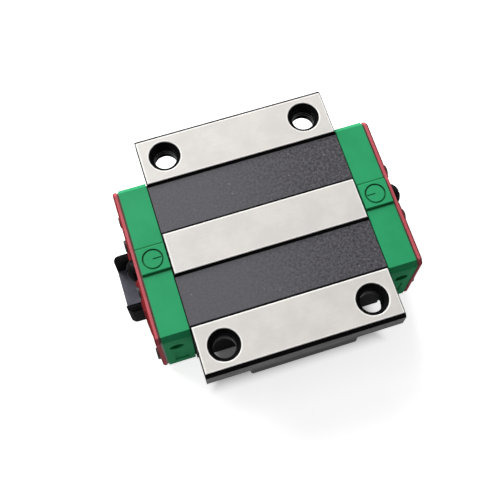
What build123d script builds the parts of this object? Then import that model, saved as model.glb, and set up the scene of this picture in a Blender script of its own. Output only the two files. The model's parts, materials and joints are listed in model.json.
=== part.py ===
from build123d import *
from math import asin, atan2, cos, degrees, floor, hypot, pi, sin, sqrt
import os

# Flanged linear guide block, size 30, for a profiled rail 28 mm wide.
# Frame: +X along the travel, +Y across it, +Z up. The origin is the centre of the ground mounting face
# on top, so the block hangs below z = 0 and stands on the underside of its two legs.
# All sizes are in millimetres.

# Steel block
block_length = 70.0
flange_width = 90.0
block_height = 36.0
flange_thickness = 9.0
flange_middle_thickness = 16.0
flange_middle_half_length = 19.3
flange_middle_corner = 0.9
flange_middle_setback = 0.2
flange_edge_chamfer = 1.5
body_width = 59.0
body_bottom_chamfer = 2.0
body_root_fillet = 2.5
end_edge_chamfer = 0.5
centre_strip_half_width = 7.3
side_strip_start = 27.4
band_depth = 1.0

# Tapped mounting holes
hole_spacing_x = 52.0
hole_spacing_y = 72.0
hole_radius = 4.25
hole_mouth_radius = 5.85

# Guided rail, whose section the slot, caps and seals follow
rail_height_in_block = 20.0
rail_half_width = 14.0
rail_head_half_width = 11.2
rail_waist_half_width = 11.9
rail_shoulder_half_width = 12.4
rail_foot_rise = 1.7
rail_waist_to_foot = 2.4

# Balls and their circuits
ball_diameter = 4.762
ball_gap = 0.12
load_row_y = 14.3
load_row_below_rail_top = 1.4
load_row_spacing = 8.2
return_offset_y = 8.6
return_offset_z = 3.6
turn_start = 1.0
groove_clearance = 0.12
channel_clearance = 0.22

# Rail slot
slot_half_width = 16.0
slot_ceiling_above_rail = 3.0
slot_ceiling_half_width = 12.8

# Ball retainers
retainer_gap = 0.1
retainer_side_gap = 0.3
retainer_web = 1.2
retainer_lip_width = 1.0
retainer_lip_above_rail = 0.4
side_retainer_inner = 14.1
lower_retainer_tip = 12.75
lower_retainer_foot_inner = 14.4
lower_retainer_height = 3.6

# Bottom seals
bottom_seal_thickness = 1.0
bottom_seal_outer = 23.0
bottom_seal_inner = 14.2
bottom_seal_inset = 0.1
bottom_seal_side_gap = 0.2
bottom_seal_lip_start = 16.6
bottom_seal_lip_edge = 0.35

# End caps
cap_length = 10.4
cap_half_width = 29.0
cap_top_z = -1.1
cap_ground_gap = 1.3
cap_top_chamfer = 1.8
cap_bottom_chamfer = 1.2
cap_joint_width = 0.4
cap_joint_depth = 0.8
cap_rail_gap = 1.0
pad_half_width = 5.1
pad_height = 0.8
pad_slope = 0.6
ring_outer_radius = 3.75
ring_groove_width = 0.6
ring_groove_depth = 0.5
ring_x = 40.4
index_bar_length = 3.0
index_bar_width = 0.4
side_port_radius = 2.5
side_port_depth = 2.5
side_port_x = 41.0
side_port_z = -11.5
side_panel_depth = 0.4
side_panel_start_x = 37.6
side_panel_end_x = 42.6
side_panel_top_z = -18.3
side_panel_bottom_z = -29.3

# Return guides in the end caps
guide_plate_inner = 16.4
guide_plate_outer = 24.4
guide_plate_margin = 3.2
guide_drum_radius = 4.3
guide_drum_half_width = 3.1
guide_clearance = 0.1

# Seal backing plates and end seals
plate_thickness = 0.7
plate_inset = 0.5
plate_rail_gap = 1.3
seal_thickness = 1.5
seal_inset = 0.2
seal_chamfer = 0.5
seal_rail_gap = 0.9
seal_rim_width = 1.6
seal_rim_rise = 0.95
seal_rim_chamfer = 0.35
seal_lip_gap = 0.25
seal_lip_thickness = 0.8
plug_pocket_half_width = 5.2
plug_pocket_depth = 0.5
plug_pocket_above_rail = 2.8

# Grease plugs
plug_above_rail = 9.6
plug_head_radius = 3.85
plug_rim_height = 1.1
plug_head_height = 3.2
plug_shank_radius = 2.6
plug_shank_length = 8.0
plug_bore_gap = 0.15
plug_slot_width = 0.9
plug_slot_depth = 0.8

# Cap screws, four at each end
screw_upper_y = 8.9
screw_upper_below_top = 3.8
screw_lower_inset = 2.9
screw_lower_below_rail = 8.0
screw_head_radius = 2.2
screw_head_height = 2.4
screw_edge_chamfer = 0.3
screw_socket_across = 2.0
screw_socket_depth = 1.1
screw_shank_radius = 1.5
screw_grip = 6.0
screw_hole_gap = 0.15
screw_head_gap = 0.2

# Dummy rail that keeps the balls in place while the block is off its rail
dummy_left_x = -54.0
dummy_length = 98.4
dummy_half_width = 11.0
dummy_inner_half_width = 8.3
dummy_below_rail_top = 0.3
dummy_trough_depth = 9.3
dummy_floor_thickness = 2.4
dummy_height = 13.5
dummy_corner_radius = 2.3
dummy_top_edge = 0.5
dummy_bead_inner = 9.1
dummy_bead_width = 0.6
dummy_bead_height = 0.25
dummy_rib_half_width = 13.6
dummy_rib_ball_gap = 0.3
dummy_rib_left_setback = 7.6
dummy_rib_right_setback = 3.6
dummy_rib_lead_in = 3.0

# Sizes that follow
along_travel = (1, 0, 0)
half_length = block_length / 2
rail_top_z = rail_height_in_block - block_height
load_row_upper_z = rail_top_z - load_row_below_rail_top
slot_ceiling_z = rail_top_z + slot_ceiling_above_rail
retainer_lip_z = rail_top_z + retainer_lip_above_rail
cap_bottom_z = cap_ground_gap - block_height
plug_z = rail_top_z + plug_above_rail
plug_pocket_bottom_z = rail_top_z + plug_pocket_above_rail
screw_upper_z = cap_top_z - screw_upper_below_top
screw_lower_y = cap_half_width - screw_lower_inset
screw_lower_z = rail_top_z - screw_lower_below_rail
dummy_top_z = rail_top_z - dummy_below_rail_top
dummy_floor_z = dummy_top_z - dummy_trough_depth
dummy_bottom_z = dummy_top_z - dummy_height
ball_radius = ball_diameter / 2
groove_radius = ball_radius + groove_clearance
channel_radius = ball_radius + channel_clearance
circuit_middle_z = load_row_upper_z - load_row_spacing / 2
circuit_y = load_row_y + return_offset_y / 2
turn_radius = hypot(return_offset_y, return_offset_z) / 2
turn_x = half_length + turn_start
cap_end_x = half_length + cap_length
plate_end_x = cap_end_x + plate_thickness
seal_face_x = plate_end_x + seal_thickness
seal_rim_x = seal_face_x + seal_rim_rise
pocket_floor_x = seal_face_x - plug_pocket_depth
screw_places = [
    (screw_upper_y, screw_upper_z),
    (-screw_upper_y, screw_upper_z),
    (screw_lower_y, screw_lower_z),
    (-screw_lower_y, screw_lower_z),
]


# Section helpers


def mirrored(points):
    """Close a half section, given from the centre line outwards and down, across y = 0."""
    return points + [(-y, z) for y, z in reversed(points)]


def section(points):
    """A face in the plane across the travel, from (y, z) points."""
    return Plane.YZ * Polygon(*points, align=None)


def prism(points, start_x, end_x):
    """The section between two places along the travel."""
    return Pos(start_x, 0, 0) * extrude(section(points), amount=end_x - start_x, dir=along_travel)


def rod(radius, y, z, start_x, end_x):
    """A round bar along the travel."""
    middle_x = (start_x + end_x) / 2
    return Pos(middle_x, y, z) * (Rot(0, 90, 0) * Cylinder(radius, abs(end_x - start_x)))


def box_between(low, high):
    """A box from its lowest corner to its highest."""
    size = [b - a for a, b in zip(low, high)]
    return Pos(*[(a + b) / 2 for a, b in zip(low, high)]) * Box(*size)


def end_outline(inset):
    """The outline that the end cap, backing plate and end seal share, drawn in by an inset."""
    corner = inset * (2 - sqrt(2))
    half = cap_half_width - inset
    top = cap_top_z - inset
    bottom = cap_bottom_z + inset
    return mirrored([
        (half - cap_top_chamfer + corner, top),
        (half, top - cap_top_chamfer + corner),
        (half, bottom + cap_bottom_chamfer - corner),
        (half - cap_bottom_chamfer + corner, bottom),
    ])


def rail_section(gap):
    """The guided rail's section, grown by a gap, with its foot carried below the block."""
    groove_half_height = ball_radius + groove_clearance
    rib_top = load_row_upper_z - groove_half_height
    rib_bottom = rib_top - (load_row_spacing - 2 * groove_half_height)
    lower_row_z = load_row_upper_z - load_row_spacing
    shoulder_rise = rail_half_width - rail_shoulder_half_width
    foot_z = lower_row_z - rail_waist_to_foot
    outline = Polygon(
        *mirrored([
            (rail_head_half_width, rail_top_z),
            (rail_waist_half_width, load_row_upper_z),
            (rail_shoulder_half_width, rib_top + shoulder_rise / 2),
            (rail_half_width, rib_top),
            (rail_half_width, rib_bottom),
            (rail_shoulder_half_width, rib_bottom - shoulder_rise / 2),
            (rail_waist_half_width, lower_row_z),
            (rail_waist_half_width + rail_foot_rise / 4, foot_z),
            (rail_half_width, foot_z - rail_foot_rise),
            (rail_half_width, -block_height - rail_half_width),
        ]),
        align=None,
    )
    return Plane.YZ * offset(outline, amount=gap, kind=Kind.INTERSECTION)


def rail_opening(gap, start_x, end_x):
    """The space that the rail, grown by a gap, takes between two places along the travel."""
    return Pos(start_x, 0, 0) * extrude(rail_section(gap), amount=end_x - start_x, dir=along_travel)


# Ball circuits


def load_row(side, row):
    """Centre line of a load row: side is 1 far or -1 near, row is 1 upper or -1 lower."""
    return side * load_row_y, circuit_middle_z + row * load_row_spacing / 2


def return_row(side, row):
    y, z = load_row(side, row)
    return y + side * return_offset_y, z + row * return_offset_z


def circuit_frame(side, row):
    """The place at a turn's centre whose Z axis stands square to the circuit's plane."""
    tilt = degrees(atan2(row * return_offset_z, side * return_offset_y))
    middle_z = circuit_middle_z + row * (load_row_spacing + return_offset_z) / 2
    return Location((turn_x, side * circuit_y, middle_z), (tilt, 0, 0))


def circuit_point(travelled):
    """Place on the loop as (along the travel, across from the loop's middle line)."""
    straight = 2 * turn_x
    turn = pi * turn_radius
    if travelled < straight:
        return travelled - turn_x, -turn_radius
    travelled -= straight
    if travelled < turn:
        angle = travelled / turn_radius
        return turn_x + turn_radius * sin(angle), -turn_radius * cos(angle)
    travelled -= turn
    if travelled < straight:
        return turn_x - travelled, turn_radius
    angle = (travelled - straight) / turn_radius
    return -turn_x - turn_radius * sin(angle), turn_radius * cos(angle)


def ball_circuit(side, row):
    """One closed loop of loose balls, as close together as the tight turns allow."""
    loop = 4 * turn_x + 2 * pi * turn_radius
    turn_pitch = 2 * turn_radius * asin((ball_diameter + ball_gap) / (2 * turn_radius))
    count = floor(loop / turn_pitch)
    load_y, load_z = load_row(side, row)
    back_y, back_z = return_row(side, row)
    balls = []
    for number in range(count):
        along, across = circuit_point(number * loop / count)
        share = (across + turn_radius) / (2 * turn_radius)
        centre_y = load_y + share * (back_y - load_y)
        centre_z = load_z + share * (back_z - load_z)
        balls.append(Pos(along, centre_y, centre_z) * Sphere(ball_radius))
    return Compound(balls)


def ball_way(side, row):
    """The space that a circuit takes in the right end cap: two straight leads and the turn."""
    lead = 2 * turn_start
    path = Line((-lead, -turn_radius), (0, -turn_radius))
    path += ThreePointArc((0, -turn_radius), (turn_radius, 0), (0, turn_radius))
    path += Line((0, turn_radius), (-lead, turn_radius))
    mouth = Plane(origin=(-lead, -turn_radius, 0), z_dir=along_travel) * Circle(channel_radius)
    return circuit_frame(side, row) * sweep(mouth, path=path)


# Steel block


def flange_section(thickness, half_width):
    """Section through the block with its flanges at one thickness, before the slot is cut."""
    half_body = body_width / 2
    roots = [(half_body, -thickness), (-half_body, -thickness)]
    outline = Polygon(
        *mirrored([
            (half_width - flange_edge_chamfer, 0),
            (half_width, -flange_edge_chamfer),
            (half_width, -thickness),
            (half_body, -thickness),
            (half_body, -block_height + body_bottom_chamfer),
            (half_body - body_bottom_chamfer, -block_height),
        ]),
        align=None,
    )
    corners = [outline.vertices().sort_by_distance((y, z, 0))[0] for y, z in roots]
    return Plane.YZ * fillet(corners, body_root_fillet)


def slot_cutter():
    """The rail slot with its four ball grooves."""
    row_z = load_row_upper_z
    half_section = [
        (slot_ceiling_half_width, slot_ceiling_z),
        (slot_ceiling_half_width, row_z),
        (slot_half_width, row_z),
        (slot_half_width, -block_height - 1),
    ]
    cutter = prism(mirrored(half_section), -half_length - 1, half_length + 1)
    for side in (1, -1):
        for row in (1, -1):
            y, z = load_row(side, row)
            cutter += rod(groove_radius, y, z, -half_length - 1, half_length + 1)
    return cutter


def band_cutter(side):
    """One of the two recessed bands between the ground strips, with sloped sides."""
    points = [
        (side * (centre_strip_half_width - 1), 1),
        (side * (centre_strip_half_width + band_depth), -band_depth),
        (side * (side_strip_start - band_depth), -band_depth),
        (side * (side_strip_start + 1), 1),
    ]
    return prism(points, -half_length - 1, half_length + 1)


def end_chamfer_cutter(end):
    """A small bevel along the top edge at one end of the block."""
    reach = end_edge_chamfer
    profile = Plane.XZ * Polygon(
        (end * (half_length - reach), 0),
        (end * half_length, -reach),
        (end * (half_length + 1), -reach),
        (end * (half_length + 1), 1),
        (end * (half_length - reach), 1),
        align=None,
    )
    return extrude(profile, amount=flange_width, both=True)


def mounting_hole(x, y):
    """A tapped hole through the flange, with a bevelled mouth."""
    mouth = hole_mouth_radius - hole_radius
    bore = Pos(x, y, -block_height / 2) * Cylinder(hole_radius, block_height + 2)
    bevel = Pos(x, y, -mouth / 2) * Cone(hole_radius, hole_mouth_radius, mouth)
    return bore + bevel


def bottom_seal_pocket(side):
    """The shallow step under a leg that the bottom seal lies in."""
    low_z = -block_height - 1
    high_z = -block_height + bottom_seal_inset + bottom_seal_thickness
    ys = sorted((side * (slot_half_width - 1), side * (bottom_seal_outer + bottom_seal_side_gap)))
    return box_between((-half_length - 1, ys[0], low_z), (half_length + 1, ys[1], high_z))


def steel_block():
    middle = flange_middle_half_length
    block = extrude(flange_section(flange_thickness, flange_width / 2), amount=half_length, both=True)
    middle_width = flange_width - 2 * flange_middle_setback
    thick = extrude(flange_section(flange_middle_thickness, middle_width / 2), amount=middle, both=True)
    plan = RectangleRounded(2 * middle, middle_width, flange_middle_corner)
    block += thick & extrude(plan, amount=2 * block_height, both=True)
    block -= slot_cutter()
    for side in (1, -1):
        block -= band_cutter(side)
        block -= end_chamfer_cutter(side)
        block -= bottom_seal_pocket(side)
        for row in (1, -1):
            y, z = return_row(side, row)
            block -= rod(channel_radius, y, z, -half_length - 1, half_length + 1)
        for end in (1, -1):
            block -= mounting_hole(end * hole_spacing_x / 2, side * hole_spacing_y / 2)
    for y, z in screw_places:
        hole = rod(screw_shank_radius + screw_hole_gap, y, z, half_length - screw_grip - 1, half_length + 1)
        block -= hole
        block -= mirror(hole, about=Plane.YZ)
    return block


# Ball retainers and bottom seals


def clear_of_rows(strip):
    """Trim a retainer so that it stays clear of the balls."""
    for side in (1, -1):
        for row in (1, -1):
            y, z = load_row(side, row)
            strip -= rod(ball_radius + retainer_gap, y, z, -half_length - 1, half_length + 1)
    return strip


def top_ball_retainer():
    half = slot_ceiling_half_width - retainer_side_gap
    lip = half - retainer_lip_width
    web_z = slot_ceiling_z - retainer_web
    points = [(half, slot_ceiling_z), (half, retainer_lip_z), (lip, retainer_lip_z), (lip, web_z)]
    return clear_of_rows(prism(mirrored(points), -half_length, half_length))


def side_ball_retainer(side):
    narrow = load_row_spacing / 2 - ball_radius - retainer_gap
    wide = load_row_spacing / 2 - ball_radius * sqrt(0.5) - retainer_gap
    points = [
        (side * side_retainer_inner, circuit_middle_z + narrow),
        (side * slot_half_width, circuit_middle_z + wide),
        (side * slot_half_width, circuit_middle_z - wide),
        (side * side_retainer_inner, circuit_middle_z - narrow),
    ]
    return clear_of_rows(prism(points, -half_length, half_length))


def lower_ball_retainer(side):
    row_z = load_row(side, -1)[1]
    top_z = row_z - ball_radius * sqrt(0.5) - groove_clearance
    low_z = top_z - lower_retainer_height
    tip_low_z = row_z - ball_radius
    slant = lower_retainer_foot_inner - lower_retainer_tip
    points = [
        (side * slot_half_width, top_z),
        (side * slot_half_width, low_z),
        (side * lower_retainer_foot_inner, low_z),
        (side * lower_retainer_foot_inner, tip_low_z - slant),
        (side * lower_retainer_tip, tip_low_z),
        (side * lower_retainer_tip, top_z),
    ]
    return clear_of_rows(prism(points, -half_length, half_length))


def bottom_seal(side):
    low_z = -block_height + bottom_seal_inset
    high_z = low_z + bottom_seal_thickness
    points = [
        (side * bottom_seal_outer, low_z),
        (side * bottom_seal_outer, high_z),
        (side * bottom_seal_lip_start, high_z),
        (side * bottom_seal_inner, low_z + bottom_seal_lip_edge),
        (side * bottom_seal_inner, low_z),
    ]
    return prism(points, -half_length, half_length)


# End caps and what they hold, all drawn at the right end


def guide_body(side, grow):
    """A return guide before the ball ways are cut: a small plate that carries two half drums."""
    edge = (load_row_spacing / 2 + return_offset_z) + guide_plate_margin + grow
    ys = sorted((side * (guide_plate_inner - grow), side * (guide_plate_outer + grow)))
    low = (half_length, ys[0], circuit_middle_z - edge)
    high = (turn_x + grow, ys[1], circuit_middle_z + edge)
    body = box_between(low, high)
    reach = guide_drum_radius + grow
    front = box_between(
        (turn_x, low[1] - reach, low[2] - reach),
        (turn_x + reach, high[1] + reach, high[2] + reach),
    )
    for row in (1, -1):
        drum = circuit_frame(side, row) * Cylinder(reach, 2 * (guide_drum_half_width + grow))
        body += drum & front
    return body


def return_guide(side):
    body = guide_body(side, 0)
    for row in (1, -1):
        body -= ball_way(side, row)
    for y, z in screw_places:
        body -= rod(screw_shank_radius + screw_hole_gap, y, z, half_length - 1, cap_end_x)
    return body


def pad_prism():
    """The raised pad across the middle of the cap's top."""
    top_z = cap_top_z + pad_height
    points = [
        (pad_half_width - pad_slope, top_z),
        (pad_half_width, cap_top_z),
        (pad_half_width, cap_top_z - pad_height),
    ]
    return prism(mirrored(points), half_length + cap_joint_width, cap_end_x)


def pad_marks():
    """The ring groove round the upper grease port and a plain index bar inside it."""
    top_z = cap_top_z + pad_height
    ring = Cylinder(ring_outer_radius, 2 * ring_groove_depth)
    ring -= Cylinder(ring_outer_radius - ring_groove_width, 2 * ring_groove_depth)
    bar = Pos(-index_bar_length / 2, 0, 0) * Box(index_bar_length, index_bar_width, 2 * ring_groove_depth)
    return Pos(ring_x, 0, top_z) * (ring + bar)


def cap_side_cuts(side):
    """The closed grease port and the sunk panel on one side face."""
    port = Pos(side_port_x, side * cap_half_width, side_port_z) * (
        Rot(90, 0, 0) * Cylinder(side_port_radius, 2 * side_port_depth)
    )
    depth = side_panel_depth
    outer = Plane.XZ.offset(-side * cap_half_width) * Polygon(
        (side_panel_start_x, side_panel_top_z),
        (side_panel_end_x, side_panel_top_z),
        (side_panel_end_x, side_panel_bottom_z),
        (side_panel_start_x, side_panel_bottom_z),
        align=None,
    )
    return port + extrude(outer, amount=depth, both=True)


def end_cap():
    body = prism(end_outline(0), half_length + cap_joint_width, cap_end_x)
    body += prism(end_outline(cap_joint_depth), half_length, half_length + cap_joint_width)
    body += pad_prism()
    body -= pad_marks()
    body -= rail_opening(cap_rail_gap, half_length - 1, cap_end_x + 1)
    for side in (1, -1):
        body -= cap_side_cuts(side)
        body -= guide_body(side, guide_clearance)
        for row in (1, -1):
            body -= ball_way(side, row)
    for y, z in screw_places:
        body -= rod(screw_shank_radius + screw_hole_gap, y, z, half_length - 1, cap_end_x + 1)
    bore_start = pocket_floor_x - plug_shank_length - plug_bore_gap
    body -= rod(plug_shank_radius + plug_bore_gap, 0, plug_z, bore_start, cap_end_x + 1)
    return body


def seal_backing_plate():
    plate = prism(end_outline(plate_inset), cap_end_x, plate_end_x)
    plate -= rail_opening(plate_rail_gap, cap_end_x - 1, plate_end_x + 1)
    plate -= rod(plug_shank_radius + plug_bore_gap, 0, plug_z, cap_end_x - 1, plate_end_x + 1)
    for y, z in screw_places:
        plate -= rod(screw_shank_radius + screw_hole_gap, y, z, cap_end_x - 1, plate_end_x + 1)
    return plate


def end_seal():
    """A flat face with a raised rim round the rail opening and a thin lip close to the rail."""
    face = prism(end_outline(seal_inset), plate_end_x, seal_face_x)
    face = chamfer(face.faces().sort_by(Axis.X)[-1].edges(), seal_chamfer)
    rim = rail_opening(seal_rail_gap + seal_rim_width, plate_end_x, seal_rim_x)
    rim = chamfer(rim.faces().sort_by(Axis.X)[-1].edges(), seal_rim_chamfer)
    seal = face + (rim & prism(end_outline(seal_inset), plate_end_x, seal_rim_x))
    seal -= rail_opening(seal_rail_gap, plate_end_x - 1, seal_rim_x - seal_lip_thickness)
    seal -= rail_opening(seal_lip_gap, plate_end_x - 1, seal_rim_x + 1)
    pocket_low = (pocket_floor_x, -plug_pocket_half_width, plug_pocket_bottom_z)
    pocket_high = (seal_face_x + 1, plug_pocket_half_width, 1)
    seal -= box_between(pocket_low, pocket_high)
    seal -= rod(plug_shank_radius + plug_bore_gap, 0, plug_z, plate_end_x - 1, seal_face_x + 1)
    for y, z in screw_places:
        seal -= rod(screw_head_radius + screw_head_gap, y, z, plate_end_x - 1, seal_face_x + 1)
    return seal


def grease_plug():
    """A press-in plug: a domed head with a driver slot on a plain shank."""
    dome_height = plug_head_height - plug_rim_height
    dome_radius = (plug_head_radius**2 + dome_height**2) / (2 * dome_height)
    half_sweep = asin(plug_head_radius / dome_radius) / 2
    rim_x = pocket_floor_x + plug_rim_height
    apex_x = pocket_floor_x + plug_head_height
    shank_x = pocket_floor_x - plug_shank_length
    middle_x = apex_x - dome_radius * (1 - cos(half_sweep))
    profile = Polyline(
        (apex_x, 0),
        (shank_x, 0),
        (shank_x, plug_shank_radius),
        (pocket_floor_x, plug_shank_radius),
        (pocket_floor_x, plug_head_radius),
        (rim_x, plug_head_radius),
    )
    middle = (middle_x, dome_radius * sin(half_sweep))
    profile += ThreePointArc((rim_x, plug_head_radius), middle, (apex_x, 0))
    plug = Pos(0, 0, plug_z) * revolve(Plane.XZ * make_face(profile), Axis.X)
    half_slot = plug_slot_width / 2
    slot_low = (apex_x - plug_slot_depth, -half_slot, plug_z - plug_head_radius)
    slot_high = (apex_x + 1, half_slot, plug_z + plug_head_radius)
    return plug - box_between(slot_low, slot_high)


def cap_screws():
    """Four socket head screws: the heads bear on the backing plate inside holes in the seal."""
    head_end = plate_end_x + screw_head_height
    screws = []
    for y, z in screw_places:
        head = rod(screw_head_radius, y, z, plate_end_x, head_end)
        head = chamfer(head.faces().sort_by(Axis.X)[-1].edges(), screw_edge_chamfer)
        shank = rod(screw_shank_radius, y, z, half_length - screw_grip, plate_end_x)
        hexagon = Plane.YZ * RegularPolygon(screw_socket_across / 2, 6, major_radius=False)
        socket = extrude(hexagon, amount=screw_socket_depth + 1, dir=along_travel)
        socket = Pos(head_end - screw_socket_depth, y, z) * socket
        screws.append(head + shank - socket)
    return Compound(screws)


# Dummy rail


def dummy_section():
    """The dummy rail's outside, with a narrow bead along the top of each wall."""
    edge = dummy_top_edge
    bead_outer = dummy_bead_inner + dummy_bead_width
    bead_z = dummy_top_z + dummy_bead_height
    return mirrored([
        (dummy_inner_half_width, dummy_top_z),
        (dummy_bead_inner, dummy_top_z),
        (dummy_bead_inner, bead_z),
        (bead_outer, bead_z),
        (bead_outer, dummy_top_z),
        (dummy_half_width - edge, dummy_top_z),
        (dummy_half_width, dummy_top_z - edge),
        (dummy_half_width, dummy_bottom_z),
    ])


def dummy_rail():
    right_x = dummy_left_x + dummy_length
    middle_x = (dummy_left_x + right_x) / 2
    middle_z = (dummy_top_z + dummy_bottom_z) / 2
    inner = dummy_inner_half_width
    rail = prism(dummy_section(), dummy_left_x, right_x)
    plan = RectangleRounded(dummy_length, 2 * dummy_half_width, dummy_corner_radius)
    rail &= Pos(middle_x, 0, middle_z) * extrude(plan, amount=dummy_height, both=True)
    trough_low = (dummy_left_x - 1, -inner, dummy_floor_z)
    rail -= box_between(trough_low, (right_x + 1, inner, dummy_top_z + 1))
    hollow_low = (dummy_left_x - 1, -inner, dummy_bottom_z - 1)
    rail -= box_between(hollow_low, (right_x + 1, inner, dummy_floor_z - dummy_floor_thickness))
    return rail + dummy_rib(1) + dummy_rib(-1)


def dummy_rib(side):
    """The rib that rides between the upper and lower ball rows of one leg."""
    start_x = dummy_left_x + dummy_rib_left_setback
    end_x = dummy_left_x + dummy_length - dummy_rib_right_setback
    out = side * dummy_rib_half_width
    root = side * (dummy_inner_half_width + dummy_half_width) / 2
    rows = load_row_y - dummy_rib_half_width
    reach = sqrt((ball_radius + dummy_rib_ball_gap) ** 2 - rows**2)
    half_height = load_row_spacing / 2 - reach
    plan = Polygon(
        (start_x, root),
        (end_x, root),
        (end_x, side * dummy_half_width),
        (end_x - dummy_rib_lead_in, out),
        (start_x + dummy_rib_lead_in, out),
        (start_x, side * dummy_half_width),
        align=None,
    )
    return Pos(0, 0, circuit_middle_z) * extrude(plan, amount=half_height, both=True)


# Build and write the pieces


def build_parts():
    side_names = {1: "far", -1: "near"}
    row_names = {1: "upper", -1: "lower"}
    parts = {
        "steel_block": steel_block(),
        "top_ball_retainer": top_ball_retainer(),
        "dummy_rail": dummy_rail(),
    }
    at_right_end = {
        "end_cap": end_cap(),
        "seal_backing_plate": seal_backing_plate(),
        "end_seal": end_seal(),
        "grease_plug": grease_plug(),
        "cap_screws": cap_screws(),
    }
    for side, side_name in side_names.items():
        parts[f"side_ball_retainer_{side_name}"] = side_ball_retainer(side)
        parts[f"lower_ball_retainer_{side_name}"] = lower_ball_retainer(side)
        parts[f"bottom_seal_{side_name}"] = bottom_seal(side)
        at_right_end[f"return_guide_{side_name}"] = return_guide(side)
        for row, row_name in row_names.items():
            parts[f"balls_{row_name}_{side_name}"] = ball_circuit(side, row)
    for name, shape in at_right_end.items():
        parts[f"{name}_right"] = shape
        parts[f"{name}_left"] = mirror(shape, about=Plane.YZ)
    return parts


os.makedirs("parts", exist_ok=True)
for node_name, node_shape in build_parts().items():
    export_step(node_shape, f"parts/{node_name}.step")
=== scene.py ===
"""Linear bearing block: the finishes, fine detail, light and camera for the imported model."""
import json
import math

import bmesh
import bpy
from mathutils import Matrix, Vector

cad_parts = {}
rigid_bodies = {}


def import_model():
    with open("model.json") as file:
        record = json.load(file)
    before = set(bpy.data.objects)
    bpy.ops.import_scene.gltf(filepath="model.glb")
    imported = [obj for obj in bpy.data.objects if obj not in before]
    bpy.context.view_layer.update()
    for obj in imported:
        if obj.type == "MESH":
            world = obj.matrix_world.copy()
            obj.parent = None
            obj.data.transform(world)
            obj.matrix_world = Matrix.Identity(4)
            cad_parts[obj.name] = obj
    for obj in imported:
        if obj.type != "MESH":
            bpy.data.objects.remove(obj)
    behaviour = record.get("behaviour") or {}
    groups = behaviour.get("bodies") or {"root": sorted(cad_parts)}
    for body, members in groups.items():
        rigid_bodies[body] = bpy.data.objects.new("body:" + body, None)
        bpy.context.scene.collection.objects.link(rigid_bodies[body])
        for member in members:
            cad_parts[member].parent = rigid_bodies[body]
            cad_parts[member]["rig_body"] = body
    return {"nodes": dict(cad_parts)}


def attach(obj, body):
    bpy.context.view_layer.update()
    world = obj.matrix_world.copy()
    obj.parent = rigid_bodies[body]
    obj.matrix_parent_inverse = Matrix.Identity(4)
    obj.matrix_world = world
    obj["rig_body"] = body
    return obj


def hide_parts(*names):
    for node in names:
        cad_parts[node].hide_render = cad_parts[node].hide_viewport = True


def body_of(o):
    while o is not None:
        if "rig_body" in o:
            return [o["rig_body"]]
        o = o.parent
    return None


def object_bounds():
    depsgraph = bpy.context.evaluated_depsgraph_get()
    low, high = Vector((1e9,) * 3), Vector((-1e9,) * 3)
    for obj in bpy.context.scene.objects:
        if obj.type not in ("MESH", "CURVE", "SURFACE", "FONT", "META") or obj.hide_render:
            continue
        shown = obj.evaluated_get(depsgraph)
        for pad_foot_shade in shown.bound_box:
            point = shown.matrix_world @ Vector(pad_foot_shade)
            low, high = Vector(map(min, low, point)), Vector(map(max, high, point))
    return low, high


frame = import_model()
nodes = frame["nodes"]
cad_low, cad_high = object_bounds()

MM = 0.001

# Camera, as found from the photograph
camera_azimuth = math.radians(-18.38)
camera_elevation = math.radians(70.05)
camera_roll = math.radians(0.79)
camera_distance = 307.46 * MM
camera_slide_right = 5.39 * MM
camera_slide_up = 8.49 * MM
camera_lens = 64.17

# Mounting holes and their thread
hole_spacing_x = 52 * MM
hole_spacing_y = 72 * MM
hole_radius = 4.25 * MM
hole_mouth_radius = 5.85 * MM
thread_pitch = 1.5 * MM
thread_start_depth = 1.8 * MM
thread_end_depth = 8.7 * MM
thread_height = 0.22 * MM
thread_ridge_radius = 0.5 * MM

# Steel block surfaces that are told apart by height and place
ground_face_depth = 0.2 * MM
datum_side_reach = 44.3 * MM
datum_side_top = 1.5 * MM
centre_strip_edge = 7.3 * MM
side_strip_start = 27.4 * MM
flange_edge = 43.5 * MM
band_inner_edge = 8.5 * MM
band_outer_edge = 26.2 * MM
band_lowest_z = -1.5 * MM
side_fade_start_z = -6 * MM
side_fade_end_z = -13 * MM
block_half_length = 35 * MM
end_bevel = 0.5 * MM
# Width of the painted highlight along the ground faces' edges
edge_highlight_width = 0.42 * MM

# End caps and seals
cap_joint_width = 0.4 * MM
pad_half_width = 5.1 * MM
ring_x = 40.4 * MM
ring_outer_radius = 3.75 * MM
# Where the painted shade on the caps lies: the joint, the foot of the pad and the ring groove
joint_margin = 0.02 * MM
corner_shade_reach = 0.5 * MM
corner_shade_core = 0.15 * MM
corner_lowest_z = -1.2 * MM
ring_margin = 0.05 * MM
groove_highest_z = -0.38 * MM
groove_lowest_z = -2.1 * MM
seal_face_x = 47.6 * MM
seal_edge_band = 0.55 * MM

# Dummy rail's trough, where its floor gets a painted sheen
trough_half_width = 8.25 * MM
trough_highest_z = -25.5 * MM

# Widths of the small rounded edges
block_rounding = 0.12 * MM
cap_rounding = 0.15 * MM
seal_rounding = 0.12 * MM
plug_rounding = 0.15 * MM
screw_rounding = 0.06 * MM
rail_rounding = 0.15 * MM
rounding_segments = 2
sharp_angle = math.radians(28)
flat_angle = math.radians(0.2)
weld_distance = 0.0005 * MM

# Floor that the block stands on
floor_z = cad_low.z
floor_size = 6.0
# Footprint under which the floor's glow is held low, a painted shadow under the block
footprint_half_length = 35 * MM
footprint_half_width = 45 * MM
footprint_fade = 9 * MM
floor_glow_under = 0.05
floor_glow_beside = 0.74
room_light = 0.08


# Node helpers


def put(tree, kind, settings=None, **values):
    """Adds a node, sets its properties and gives its inputs their values or links."""
    made = tree.nodes.new(kind)
    for name, value in (settings or {}).items():
        setattr(made, name, value)
    for name, value in values.items():
        feed(tree, made.inputs[name.replace("_", " ")], value)
    return made


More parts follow.
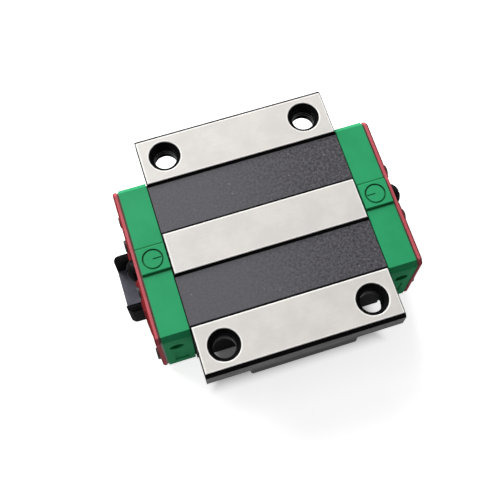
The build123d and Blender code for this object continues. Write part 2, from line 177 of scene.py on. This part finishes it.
def feed(tree, socket, value):
    """Gives an input a value, or a link where the value is another node's output."""
    if isinstance(value, bpy.types.NodeSocket):
        tree.links.new(value, socket)
    else:
        socket.default_value = value


def math_node(tree, operation, first, second=0.0, clamp=False):
    made = tree.nodes.new("ShaderNodeMath")
    made.operation = operation
    made.use_clamp = clamp
    feed(tree, made.inputs[0], first)
    feed(tree, made.inputs[1], second)
    return made.outputs[0]


def times(tree, first, second):
    return math_node(tree, "MULTIPLY", first, second)


def plus(tree, first, second):
    return math_node(tree, "ADD", first, second)


def minus(tree, first, second):
    return math_node(tree, "SUBTRACT", first, second)


def distance(tree, value):
    """How far a value is from nought, on either side."""
    return math_node(tree, "ABSOLUTE", value)


def over(tree, value, limit):
    """1 where the value is more than the limit, 0 elsewhere."""
    return math_node(tree, "GREATER_THAN", value, limit)


def under(tree, value, limit):
    """1 where the value is less than the limit, 0 elsewhere."""
    return math_node(tree, "LESS_THAN", value, limit)


def radius_of(tree, x, y):
    """How far a place is from the middle, seen from above."""
    squares = plus(tree, math_node(tree, "POWER", x, 2.0), math_node(tree, "POWER", y, 2.0))
    return math_node(tree, "SQRT", squares)


def split(tree, vector):
    """The three parts of a vector, named X, Y and Z."""
    return put(tree, "ShaderNodeSeparateXYZ", Vector=vector).outputs


def face_direction(tree):
    """The three parts of the direction in which a face looks."""
    return split(tree, put(tree, "ShaderNodeNewGeometry").outputs["True Normal"])


def ramp(tree, value, low, high):
    """A value stretched so that low becomes 0 and high becomes 1, held there."""
    made = tree.nodes.new("ShaderNodeMapRange")
    made.interpolation_type = "SMOOTHSTEP"
    tree.links.new(value, made.inputs["Value"])
    made.inputs["From Min"].default_value = low
    made.inputs["From Max"].default_value = high
    return made.outputs["Result"]


def blend(tree, share, first, second):
    """The first colour where the share is 0 and the second where it is 1."""
    made = tree.nodes.new("ShaderNodeMix")
    made.data_type = "RGBA"
    share_input, first_input, second_input, colour_output = 0, 6, 7, 2
    feed(tree, made.inputs[share_input], share)
    feed(tree, made.inputs[first_input], first)
    feed(tree, made.inputs[second_input], second)
    return made.outputs[colour_output]


def noise(tree, vector, scale, detail=3.0, roughness=0.55):
    made = put(tree, "ShaderNodeTexNoise", Vector=vector, Scale=scale, Detail=detail, Roughness=roughness)
    return made.outputs["Fac"]


def srgb(red, green, blue):
    """A colour written as the eye sees it, from 0 to 255, as the light values that a shader takes."""
    def light(level):
        level /= 255
        return level / 12.92 if level <= 0.04045 else ((level + 0.055) / 1.055) ** 2.4
    return light(red), light(green), light(blue), 1.0


# Shared surface effects


def effect_group(name, takes, gives):
    """An empty node group with named inputs and outputs."""
    group = bpy.data.node_groups.new(name, "ShaderNodeTree")
    for socket_name, kind, value in takes:
        socket = group.interface.new_socket(socket_name, in_out="INPUT", socket_type=kind)
        if value is not None:
            socket.default_value = value
    for socket_name, kind in gives:
        group.interface.new_socket(socket_name, in_out="OUTPUT", socket_type=kind)
    entry = group.nodes.new("NodeGroupInput")
    leave = group.nodes.new("NodeGroupOutput")
    return group, entry.outputs, leave.inputs


def grinding_marks():
    """Fine lines along the travel, as a surface grinder leaves, with a faint cloudiness."""
    group, takes, gives = effect_group(
        "grinding marks",
        [
            ("Vector", "NodeSocketVector", None),
            ("Line density", "NodeSocketFloat", 5200.0),
            ("Line length", "NodeSocketFloat", 0.012),
            ("Cloud scale", "NodeSocketFloat", 90.0),
        ],
        [("Lines", "NodeSocketFloat"), ("Clouds", "NodeSocketFloat")],
    )
    along = times(group, takes["Line density"], takes["Line length"])
    stretch = put(group, "ShaderNodeCombineXYZ", X=along, Y=takes["Line density"], Z=takes["Line density"])
    scaled = put(group, "ShaderNodeVectorMath", {"operation": "MULTIPLY"})
    group.links.new(takes["Vector"], scaled.inputs[0])
    group.links.new(stretch.outputs[0], scaled.inputs[1])
    lines = noise(group, scaled.outputs[0], 1.0, 2.0, 0.6)
    clouds = noise(group, takes["Vector"], takes["Cloud scale"], 5.0, 0.62)
    group.links.new(lines, gives["Lines"])
    group.links.new(clouds, gives["Clouds"])
    return group


def moulded_grain():
    """The fine spark-eroded skin of a plastic moulding and the slow flow shades under it."""
    group, takes, gives = effect_group(
        "moulded grain",
        [
            ("Vector", "NodeSocketVector", None),
            ("Grain scale", "NodeSocketFloat", 2600.0),
            ("Flow scale", "NodeSocketFloat", 60.0),
        ],
        [("Grain", "NodeSocketFloat"), ("Flow", "NodeSocketFloat")],
    )
    fine = noise(group, takes["Vector"], takes["Grain scale"], 2.0, 0.5)
    coarse_scale = times(group, takes["Grain scale"], 0.3)
    coarse = noise(group, takes["Vector"], coarse_scale, 2.0, 0.5)
    half = times(group, coarse, 0.5)
    grain = plus(group, times(group, fine, 0.5), half)
    flow = noise(group, takes["Vector"], takes["Flow scale"], 4.0, 0.6)
    group.links.new(grain, gives["Grain"])
    group.links.new(flow, gives["Flow"])
    return group


def specks_and_scuffs():
    """Sparse small specks and short soft scuffs from handling."""
    group, takes, gives = effect_group(
        "specks and scuffs",
        [
            ("Vector", "NodeSocketVector", None),
            ("Speck scale", "NodeSocketFloat", 420.0),
            ("Speck size", "NodeSocketFloat", 0.12),
            ("Scuff scale", "NodeSocketFloat", 240.0),
        ],
        [("Specks", "NodeSocketFloat"), ("Scuffs", "NodeSocketFloat")],
    )
    cells = put(group, "ShaderNodeTexVoronoi", Vector=takes["Vector"], Scale=takes["Speck scale"])
    near = under(group, cells.outputs["Distance"], takes["Speck size"])
    chosen = put(group, "ShaderNodeSeparateColor", Color=cells.outputs["Color"])
    few = over(group, chosen.outputs[0], 0.8)
    specks = times(group, near, few)
    where = ramp(group, noise(group, takes["Vector"], takes["Scuff scale"], 6.0, 0.7), 0.6, 0.74)
    patches_scale = times(group, takes["Scuff scale"], 0.16)
    patches = ramp(group, noise(group, takes["Vector"], patches_scale, 2.0, 0.5), 0.5, 0.66)
    scuffs = times(group, where, patches)
    group.links.new(specks, gives["Specks"])
    group.links.new(scuffs, gives["Scuffs"])
    return group


def worn_edges():
    """How bare an edge is rubbed: the edge's own mark on the mesh, broken up by noise."""
    group, takes, gives = effect_group(
        "worn edges",
        [
            ("Vector", "NodeSocketVector", None),
            ("Edge", "NodeSocketFloat", 0.0),
            ("Patch scale", "NodeSocketFloat", 500.0),
            ("Amount", "NodeSocketFloat", 0.5),
        ],
        [("Wear", "NodeSocketFloat")],
    )
    patches = ramp(group, noise(group, takes["Vector"], takes["Patch scale"], 4.0, 0.65), 0.35, 0.7)
    wear = times(group, takes["Edge"], patches)
    wear = math_node(group, "MULTIPLY", wear, takes["Amount"], clamp=True)
    group.links.new(wear, gives["Wear"])
    return group


effects = {
    "grinding": grinding_marks(),
    "moulding": moulded_grain(),
    "handling": specks_and_scuffs(),
    "edges": worn_edges(),
}


def use(tree, effect, **values):
    """Places a shared effect in a material with its own values."""
    made = tree.nodes.new("ShaderNodeGroup")
    made.node_tree = effects[effect]
    for name, value in values.items():
        feed(tree, made.inputs[name.replace("_", " ")], value)
    return made.outputs


# Materials


def finish(name, roughness, metallic=0.0, specular=0.5):
    """A material with one shader, returned with its tree, shader and Object coordinates."""
    material = bpy.data.materials.new(name)
    material.use_nodes = True
    tree = material.node_tree
    shader = tree.nodes["Principled BSDF"]
    shader.inputs["Roughness"].default_value = roughness
    shader.inputs["Metallic"].default_value = metallic
    shader.inputs["Specular IOR Level"].default_value = specular
    place = tree.nodes.new("ShaderNodeTexCoord").outputs["Object"]
    return material, tree, shader, place


def relief(tree, shader, height, tallest):
    """Turns a height from 0 to 1 into bumps on the surface, the tallest as given."""
    bump = put(tree, "ShaderNodeBump", Height=height, Distance=tallest, Strength=1.0)
    tree.links.new(bump.outputs["Normal"], shader.inputs["Normal"])


def edge_mark(tree):
    """The mark that rounded edges carry on the finished meshes."""
    return put(tree, "ShaderNodeAttribute", {"attribute_name": "rounded_edge"}).outputs["Fac"]


def painted_edge_highlight(tree, x, y):
    """A painted highlight: the narrow bright border of the ground faces, along their edges and round the
    hole mouths.
    """
    along = distance(tree, x)
    across = distance(tree, y)
    end = minus(tree, block_half_length - end_bevel, along)
    centre = minus(tree, centre_strip_edge, across)
    inner = minus(tree, across, side_strip_start)
    outer = minus(tree, flange_edge, across)
    side = math_node(tree, "MINIMUM", inner, outer)
    from_x = minus(tree, along, hole_spacing_x / 2)
    from_y = minus(tree, across, hole_spacing_y / 2)
    mouth = minus(tree, radius_of(tree, from_x, from_y), hole_mouth_radius)
    nearest = math_node(tree, "MINIMUM", math_node(tree, "MAXIMUM", centre, side), end)
    nearest = math_node(tree, "MINIMUM", nearest, mouth)
    return ramp(tree, nearest, edge_highlight_width, 0.4 * edge_highlight_width)


def block_steel():
    """The steel block: bright ground faces, grey datum sides and near-black everywhere else."""
    material, tree, shader, place = finish("block steel", 0.4, specular=0.03)
    x, y, z = split(tree, place)
    ground = over(tree, z, -ground_face_depth)
    across = distance(tree, y)
    datum = times(tree, over(tree, across, datum_side_reach), under(tree, z, -datum_side_top))
    facing = face_direction(tree)
    sideways = over(tree, distance(tree, facing["Y"]), 0.6)
    datum = times(tree, datum, sideways)
    marks = use(tree, "grinding", Vector=place)
    fine_marks = use(tree, "moulding", Vector=place, Grain_scale=3600.0, Flow_scale=38.0)
    handling = use(tree, "handling", Vector=place)

    warm = srgb(215, 211, 206)
    cool = srgb(207, 204, 200)
    bright = blend(tree, ramp(tree, marks["Clouds"], 0.35, 0.65), warm, cool)
    line_share = times(tree, ramp(tree, marks["Lines"], 0.4, 0.75), 0.16)
    bright = blend(tree, line_share, bright, srgb(178, 176, 174))

    dark = srgb(98, 97, 101)
    darker = srgb(58, 56, 61)
    mottle = ramp(tree, fine_marks["Grain"], 0.36, 0.64)
    # Painted shade: the bands' darker mottle grows toward the right end.
    shade_toward_right = ramp(tree, x, -0.6 * block_half_length, block_half_length)
    mottle_and_shade_share = times(tree, mottle, plus(tree, shade_toward_right, 0.32))
    oxide = blend(tree, math_node(tree, "MULTIPLY", mottle_and_shade_share, 0.75, clamp=True), dark, darker)
    oxide = blend(tree, times(tree, handling["Scuffs"], 0.35), oxide, srgb(140, 138, 142))
    oxide = blend(tree, times(tree, handling["Specks"], 0.3), oxide, srgb(172, 170, 170))

    in_band = times(tree, over(tree, facing["Z"], 0.9), over(tree, z, band_lowest_z))
    in_band = times(tree, in_band, over(tree, across, band_inner_edge))
    in_band = times(tree, in_band, under(tree, across, band_outer_edge))
    black = blend(tree, ramp(tree, fine_marks["Flow"], 0.3, 0.7), srgb(5, 5, 6), srgb(11, 11, 12))
    colour = blend(tree, in_band, black, oxide)
    side_grey = blend(tree, ramp(tree, marks["Clouds"], 0.3, 0.7), srgb(134, 133, 133), srgb(117, 116, 116))
    side_grey = blend(tree, ramp(tree, z, side_fade_start_z, side_fade_end_z), side_grey, srgb(86, 86, 86))
    side_grey = blend(tree, line_share, side_grey, srgb(60, 60, 60))
    colour = blend(tree, datum, colour, side_grey)
    colour = blend(tree, ground, colour, bright)
    # Painted highlight: a bright line along the ground faces' edges and round the hole mouths.
    edge_highlight = times(tree, times(tree, ground, painted_edge_highlight(tree, x, y)), 0.8)
    colour = blend(tree, edge_highlight, colour, srgb(243, 241, 237))
    bared = use(tree, "edges", Vector=place, Edge=edge_mark(tree), Amount=0.1)["Wear"]
    colour = blend(tree, bared, colour, srgb(120, 118, 117))
    tree.links.new(colour, shader.inputs["Base Color"])

    machined = math_node(tree, "MAXIMUM", ground, datum)
    metal = plus(tree, times(tree, machined, 0.05), 0.1)
    tree.links.new(metal, shader.inputs["Metallic"])
    rough_ground = plus(tree, times(tree, marks["Lines"], 0.16), 0.4)
    rough_oxide = plus(tree, times(tree, fine_marks["Grain"], 0.2), 0.4)
    rough = times(tree, minus(tree, rough_ground, rough_oxide), machined)
    rough = plus(tree, rough, rough_oxide)
    rough = plus(tree, rough, times(tree, sideways, 0.25))
    tree.links.new(rough, shader.inputs["Roughness"])
    flat = times(tree, marks["Lines"], times(tree, machined, 0.25))
    pitted = times(tree, fine_marks["Grain"], minus(tree, 1.0, machined))
    relief(tree, shader, plus(tree, flat, pitted), 0.02 * MM)
    return material


def cap_painted_shade(tree, place, colour):
    """Painted shade where the cap meets the block, at the foot of its raised pad and in the ring groove."""
    x, y, z = split(tree, place)
    along = distance(tree, x)
    # Painted shade: the cap's joint with the block is coloured near-black, as the deep groove there is in
    # shadow.
    joint_shade = under(tree, along, block_half_length + cap_joint_width - joint_margin)
    colour = blend(tree, joint_shade, colour, srgb(6, 9, 8))
    # Painted shade: a dark green line along the foot of the raised pad's steps.
    foot = distance(tree, minus(tree, distance(tree, y), pad_half_width))
    pad_foot_shade = times(tree, ramp(tree, foot, corner_shade_reach, corner_shade_core), 0.85)
    pad_foot_shade = times(tree, pad_foot_shade, over(tree, z, corner_lowest_z))
    colour = blend(tree, pad_foot_shade, colour, srgb(2, 74, 26))
    # Painted shade in the ring groove, deepest on its far side.
    from_ring = radius_of(tree, minus(tree, along, ring_x), y)
    groove_shade = under(tree, from_ring, ring_outer_radius + ring_margin)
    groove_shade = times(tree, groove_shade, under(tree, z, groove_highest_z))
    groove_shade = times(tree, groove_shade, over(tree, z, groove_lowest_z))
    groove_far_side_shade = ramp(tree, y, -ring_outer_radius, 0.6 * ring_outer_radius)
    groove_far_side_shade = plus(tree, times(tree, groove_far_side_shade, 0.6), 0.3)
    return blend(tree, times(tree, groove_shade, groove_far_side_shade), colour, srgb(0, 48, 12))


def seal_painted_shade(tree, place, colour):
    """Painted shade: the seal's outer side, with its bevel, pocket and raised rim, is coloured a deeper red
    than its edge.
    """
    along = distance(tree, split(tree, place)["X"])
    painted_shade_outside = over(tree, along, seal_face_x - seal_edge_band)
    return blend(tree, times(tree, painted_shade_outside, 0.9), colour, srgb(112, 2, 8))


def rail_trough_painted_sheen(tree, place, colour):
    """Painted sheen: the floor of the dummy rail's trough is coloured a mottled grey for the light it
    reflects from above.
    """
    spot = split(tree, place)
    low = under(tree, spot["Z"], trough_highest_z)
    inside = under(tree, distance(tree, spot["Y"]), trough_half_width)
    sheen_mottle = noise(tree, place, 160.0, 4.0, 0.6)
    grey = blend(tree, ramp(tree, sheen_mottle, 0.35, 0.65), srgb(106, 106, 116), srgb(94, 94, 103))
    return blend(tree, times(tree, low, inside), colour, grey)


def moulded_plastic(
    name, light, deep, roughness, grain_height, wear=0.25, worn=None, specular=0.5, detail=None
):
    """A plain moulded plastic: two close shades, a fine skin, paler rubbed edges and its own detail."""
    material, tree, shader, place = finish(name, roughness, specular=specular)
    skin = use(tree, "moulding", Vector=place)
    handling = use(tree, "handling", Vector=place, Speck_scale=300.0, Scuff_scale=200.0)
    colour = blend(tree, ramp(tree, skin["Flow"], 0.32, 0.68), light, deep)
    if worn:
        bared = use(tree, "edges", Vector=place, Edge=edge_mark(tree), Amount=wear)["Wear"]
        colour = blend(tree, bared, colour, worn)
        colour = blend(tree, times(tree, handling["Scuffs"], 0.12), colour, worn)
    if detail:
        colour = detail(tree, place, colour)
    tree.links.new(colour, shader.inputs["Base Color"])
    dull = times(tree, skin["Flow"], 0.16)
    dull = plus(tree, dull, times(tree, handling["Scuffs"], 0.12))
    steep = under(tree, distance(tree, face_direction(tree)["Z"]), 0.8)
    dull = plus(tree, dull, times(tree, steep, 0.4))
    tree.links.new(plus(tree, dull, roughness - 0.08), shader.inputs["Roughness"])
    relief(tree, shader, skin["Grain"], grain_height)
    return material


def thread_steel():
    """The cut thread inside the mounting holes, dark with an oily glint on the crests."""
    material, tree, shader, place = finish("thread steel", 0.3, metallic=0.3, specular=0.15)
    marks = use(tree, "grinding", Vector=place)
    colour = blend(tree, marks["Clouds"], srgb(8, 8, 9), srgb(16, 16, 18))
    tree.links.new(colour, shader.inputs["Base Color"])
    return material


def sheet_steel():
    """The thin backing plate's browned sheet."""
    material, tree, shader, place = finish("browned sheet steel", 0.5, metallic=0.3, specular=0.2)
    marks = use(tree, "grinding", Vector=place, Cloud_scale=160.0)
    colour = blend(tree, ramp(tree, marks["Clouds"], 0.3, 0.7), srgb(84, 66, 58), srgb(68, 53, 47))
    tree.links.new(colour, shader.inputs["Base Color"])
    relief(tree, shader, marks["Lines"], 0.004 * MM)
    return material


def screw_steel():
    """The cap screws' black oxide, rubbed a little at the edges."""
    material, tree, shader, place = finish("black screw steel", 0.42, metallic=0.2, specular=0.3)
    skin = use(tree, "moulding", Vector=place, Grain_scale=2200.0, Flow_scale=180.0)
    colour = blend(tree, skin["Flow"], srgb(12, 12, 14), srgb(24, 24, 26))
    bared = use(tree, "edges", Vector=place, Edge=edge_mark(tree), Amount=0.3, Patch_scale=900.0)["Wear"]
    colour = blend(tree, bared, colour, srgb(90, 88, 87))
    tree.links.new(colour, shader.inputs["Base Color"])
    relief(tree, shader, skin["Grain"], 0.008 * MM)
    return material


def ball_steel():
    """Polished bearing steel with a breath of oil."""
    material, tree, shader, place = finish("polished ball steel", 0.1, metallic=1.0)
    marks = use(tree, "grinding", Vector=place, Cloud_scale=220.0)
    colour = blend(tree, marks["Clouds"], srgb(206, 206, 208), srgb(188, 188, 192))
    tree.links.new(colour, shader.inputs["Base Color"])
    dull = plus(tree, times(tree, marks["Clouds"], 0.1), 0.06)
    tree.links.new(dull, shader.inputs["Roughness"])
    return material


# Finished meshes


def finished(node_name, material, edge=0.0):
    """A copy of a CAD node with its triangles joined and its edges rounded, in the node's place."""
    mesh = nodes[node_name].data.copy()
    mesh.name = node_name + "_finished"
    shape = bmesh.new()
    shape.from_mesh(mesh)
    bmesh.ops.remove_doubles(shape, verts=shape.verts, dist=weld_distance)
    bmesh.ops.dissolve_limit(
        shape,
        angle_limit=flat_angle,
        verts=shape.verts,
        edges=shape.edges,
        delimit={"NORMAL"},
    )
    shape.to_mesh(mesh)
    shape.free()
    mesh.materials.clear()
    mesh.materials.append(material)
    mesh.materials.append(material)
    for face in mesh.polygons:
        face.material_index = 0
        face.use_smooth = True
    mesh.set_sharp_from_angle(angle=sharp_angle)
    piece = bpy.data.objects.new(node_name + "_finished", mesh)
    bpy.context.scene.collection.objects.link(piece)
    if edge:
        rounding = piece.modifiers.new("rounded edges", "BEVEL")
        rounding.width = edge
        rounding.segments = rounding_segments
        rounding.limit_method = "ANGLE"
        rounding.angle_limit = sharp_angle
        rounding.use_clamp_overlap = True
        rounding.material = 1
        shading = piece.modifiers.new("even shading", "WEIGHTED_NORMAL")
        shading.mode = "FACE_AREA"
        shading.weight = 100
        shading.keep_sharp = True
    piece.data = evaluated_mesh(piece)
    mark_rounded_edges(piece.data)
    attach(piece, body_of(nodes[node_name])[0])
    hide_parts(node_name)
    return piece


def evaluated_mesh(piece):
    """The piece's mesh with its modifiers worked in, which are then taken off."""
    graph = bpy.context.evaluated_depsgraph_get()
    mesh = bpy.data.meshes.new_from_object(piece.evaluated_get(graph))
    piece.modifiers.clear()
    return mesh


def mark_rounded_edges(mesh):
    """Writes the rounded_edge mark on the faces that the rounding made."""
    mark = mesh.attributes.new("rounded_edge", "FLOAT", "FACE")
    for face in mesh.polygons:
        mark.data[face.index].value = 1.0 if face.material_index else 0.0
        face.material_index = 0
    while len(mesh.materials) > 1:
        mesh.materials.pop()


# Threads in the mounting holes


def number_input(tree, name, value):
    """Adds a named number to a tree and returns the key by which a modifier sets it."""
    socket = tree.interface.new_socket(name, in_out="INPUT", socket_type="NodeSocketFloat")
    socket.default_value = value
    return socket.identifier


def hole_thread_tree(material):
    """A triangular ridge wound up each of the four mounting holes."""
    tree = bpy.data.node_groups.new("hole threads", "GeometryNodeTree")
    sizes = {
        "Spacing along": hole_spacing_x,
        "Spacing across": hole_spacing_y,
        "Hole radius": hole_radius,
        "Pitch": thread_pitch,
        "Length": thread_end_depth - thread_start_depth,
        "Start depth": thread_start_depth,
        "Ridge radius": thread_ridge_radius,
        "Ridge height": thread_height,
    }
    keys = {name: number_input(tree, name, value) for name, value in sizes.items()}
    tree.interface.new_socket("Geometry", in_out="OUTPUT", socket_type="NodeSocketGeometry")
    takes = tree.nodes.new("NodeGroupInput").outputs
    turns = math_node(tree, "DIVIDE", takes["Length"], takes["Pitch"])
    centre = plus(tree, takes["Hole radius"], takes["Ridge radius"])
    centre = minus(tree, centre, takes["Ridge height"])
    helix = put(tree, "GeometryNodeCurveSpiral", Resolution=48, Rotations=turns, Height=takes["Length"])
    for end in ("Start Radius", "End Radius"):
        tree.links.new(centre, helix.inputs[end])
    ridge = put(tree, "GeometryNodeCurvePrimitiveCircle", Resolution=4, Radius=takes["Ridge radius"])
    wound = put(tree, "GeometryNodeCurveToMesh", Fill_Caps=True)
    tree.links.new(helix.outputs["Curve"], wound.inputs["Curve"])
    tree.links.new(ridge.outputs["Curve"], wound.inputs["Profile Curve"])
    bottom = plus(tree, takes["Length"], takes["Start depth"])
    lowered = put(tree, "ShaderNodeCombineXYZ", Z=times(tree, bottom, -1.0))
    thread = wound.outputs["Mesh"]
    placed = put(tree, "GeometryNodeTransform", Geometry=thread, Translation=lowered.outputs[0])
    holes = put(
        tree,
        "GeometryNodeMeshGrid",
        Size_X=takes["Spacing along"],
        Size_Y=takes["Spacing across"],
        Vertices_X=2,
        Vertices_Y=2,
    )
    repeated = put(tree, "GeometryNodeInstanceOnPoints")
    tree.links.new(holes.outputs["Mesh"], repeated.inputs["Points"])
    tree.links.new(placed.outputs["Geometry"], repeated.inputs["Instance"])
    real = put(tree, "GeometryNodeRealizeInstances", Geometry=repeated.outputs["Instances"])
    coated = put(tree, "GeometryNodeSetMaterial", Geometry=real.outputs["Geometry"], Material=material)
    leave = tree.nodes.new("NodeGroupOutput")
    tree.links.new(coated.outputs["Geometry"], leave.inputs["Geometry"])
    return tree, keys, sizes


def hole_threads(material):
    """The four threads as one piece that rides the block."""
    tree, keys, sizes = hole_thread_tree(material)
    piece = bpy.data.objects.new("hole_threads", bpy.data.meshes.new("hole_threads"))
    bpy.context.scene.collection.objects.link(piece)
    winding = piece.modifiers.new("threads", "NODES")
    winding.node_group = tree
    for name, key in keys.items():
        winding[key] = sizes[name]
    piece.data = evaluated_mesh(piece)
    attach(piece, "block")
    return piece


# Floor, light and camera


def floor():
    """A pale floor, white where nothing shades it, that keeps the block's soft shadow, with a painted shadow
    under the block where its glow is held low.
    """
    mesh = bpy.data.meshes.new("floor")
    half = floor_size / 2
    corners = [(-half, -half), (half, -half), (half, half), (-half, half)]
    mesh.from_pydata([(x, y, floor_z) for x, y in corners], [], [(0, 1, 2, 3)])
    piece = bpy.data.objects.new("floor", mesh)
    bpy.context.scene.collection.objects.link(piece)
    material = bpy.data.materials.new("pale floor")
    material.use_nodes = True
    tree = material.node_tree
    tree.nodes.remove(tree.nodes["Principled BSDF"])
    paper = put(tree, "ShaderNodeBsdfDiffuse", Color=(0.8, 0.8, 0.8, 1.0))
    spot = split(tree, tree.nodes.new("ShaderNodeTexCoord").outputs["Object"])
    # Painted shadow: the glow fades out over footprint_fade inside the block's footprint, so the floor under
    # the block reads dark.
    beside = minus(tree, distance(tree, spot["X"]), footprint_half_length)
    before = minus(tree, distance(tree, spot["Y"]), footprint_half_width)
    clear = ramp(tree, math_node(tree, "MAXIMUM", beside, before), -footprint_fade, 0.0)
    share = plus(tree, times(tree, clear, floor_glow_beside), floor_glow_under)
    glow = put(tree, "ShaderNodeEmission", Strength=background_share(tree, share))
    lit = tree.nodes.new("ShaderNodeAddShader")
    tree.links.new(paper.outputs[0], lit.inputs[0])
    tree.links.new(glow.outputs[0], lit.inputs[1])
    tree.links.new(lit.outputs[0], tree.nodes["Material Output"].inputs["Surface"])
    mesh.materials.append(material)


def background_share(tree, share):
    """The share for rays from the camera, from gloss and through glass, and nought for the rest."""
    path = tree.nodes.new("ShaderNodeLightPath").outputs
    seen = math_node(tree, "MAXIMUM", path["Is Camera Ray"], path["Is Glossy Ray"])
    seen = math_node(tree, "MAXIMUM", seen, path["Is Transmission Ray"])
    return times(tree, seen, share)


def world():
    """A dim room that shows as white where it is seen."""
    room = bpy.data.worlds.new("room")
    bpy.context.scene.world = room
    room.use_nodes = True
    background = room.node_tree.nodes["Background"]
    background.inputs["Color"].default_value = (1.0, 1.0, 1.0, 1.0)
    white = background_share(room.node_tree, 1 - room_light)
    strength = plus(room.node_tree, white, room_light)
    room.node_tree.links.new(strength, background.inputs["Strength"])


def soft_light(name, place, width, height, power):
    """A soft lamp that is turned to the origin."""
    lamp = bpy.data.lights.new(name, "AREA")
    lamp.shape = "RECTANGLE"
    lamp.size = width
    lamp.size_y = height
    lamp.energy = power
    holder = bpy.data.objects.new(name, lamp)
    holder.location = place
    holder.rotation_euler = (-Vector(place)).to_track_quat("-Z", "Y").to_euler()
    bpy.context.scene.collection.objects.link(holder)


def camera():
    azimuth, elevation = camera_azimuth, camera_elevation
    back = Vector((
        math.sin(azimuth) * math.cos(elevation),
        -math.cos(azimuth) * math.cos(elevation),
        math.sin(elevation),
    ))
    level_right = Vector((0, 0, 1)).cross(back).normalized()
    level_up = back.cross(level_right)
    right = level_right * math.cos(camera_roll) + level_up * math.sin(camera_roll)
    up = back.cross(right)
    place = back * camera_distance - right * camera_slide_right - up * camera_slide_up
    lens = bpy.data.cameras.new("camera")
    lens.sensor_width = 36
    lens.lens = camera_lens
    lens.clip_start = 0.01
    holder = bpy.data.objects.new("camera", lens)
    turn = Matrix((right, up, back)).transposed().to_4x4()
    holder.matrix_world = Matrix.Translation(place) @ turn
    bpy.context.scene.collection.objects.link(holder)
    bpy.context.scene.camera = holder


# Build the scene

camera()
floor()
world()
soft_light("far panel", (-0.45, 1.35, 0.95), width=1.9, height=1.3, power=44.0)
soft_light("rear panel", (-0.45, 1.5, 0.75), width=1.8, height=1.2, power=12.0)
soft_light("overhead reflector", (-0.3, 0.1, 1.2), width=0.7, height=0.6, power=2.0)
bpy.context.scene.view_settings.view_transform = "Standard"

steel = block_steel()
green = moulded_plastic(
    "green cap plastic",
    srgb(48, 161, 106),
    srgb(42, 153, 99),
    0.42,
    0.012 * MM,
    wear=0.3,
    worn=srgb(104, 190, 146),
    specular=0.12,
    detail=cap_painted_shade,
)
red = moulded_plastic(
    "red seal",
    srgb(197, 94, 102),
    srgb(186, 80, 88),
    0.42,
    0.012 * MM,
    wear=0.3,
    worn=srgb(222, 124, 130),
    specular=0.15,
    detail=seal_painted_shade,
)
black = moulded_plastic(
    "black plug plastic",
    srgb(4, 4, 6),
    srgb(8, 8, 10),
    0.4,
    0.006 * MM,
    wear=0.3,
    worn=srgb(74, 72, 78),
    specular=0.05,
)
rail_black = moulded_plastic(
    "black rail plastic",
    srgb(5, 5, 7),
    srgb(10, 10, 12),
    0.4,
    0.012 * MM,
    wear=0.45,
    worn=srgb(104, 103, 108),
    specular=0.03,
    detail=rail_trough_painted_sheen,
)
natural = moulded_plastic("natural guide plastic", srgb(226, 220, 202), srgb(214, 206, 186), 0.42, 0.01 * MM)
grey_plastic = moulded_plastic("dark retainer plastic", srgb(44, 46, 50), srgb(58, 60, 64), 0.45, 0.01 * MM)
seal_rubber = moulded_plastic("black seal rubber", srgb(22, 22, 24), srgb(32, 32, 34), 0.6, 0.02 * MM)

browned = sheet_steel()
blackened = screw_steel()

finished("steel_block", steel, edge=block_rounding)
hole_threads(thread_steel())
for end in ("left", "right"):
    finished(f"end_cap_{end}", green, edge=cap_rounding)
    finished(f"end_seal_{end}", red, edge=seal_rounding)
    finished(f"seal_backing_plate_{end}", browned)
    finished(f"grease_plug_{end}", black, edge=plug_rounding)
    finished(f"cap_screws_{end}", blackened, edge=screw_rounding)
    for side in ("near", "far"):
        finished(f"return_guide_{side}_{end}", natural)
finished("dummy_rail", rail_black, edge=rail_rounding)
finished("top_ball_retainer", grey_plastic)
balls = ball_steel()
for side in ("near", "far"):
    finished(f"side_ball_retainer_{side}", grey_plastic)
    finished(f"lower_ball_retainer_{side}", grey_plastic)
    finished(f"bottom_seal_{side}", seal_rubber)
    for row in ("upper", "lower"):
        nodes[f"balls_{row}_{side}"].data.materials.clear()
        nodes[f"balls_{row}_{side}"].data.materials.append(balls)
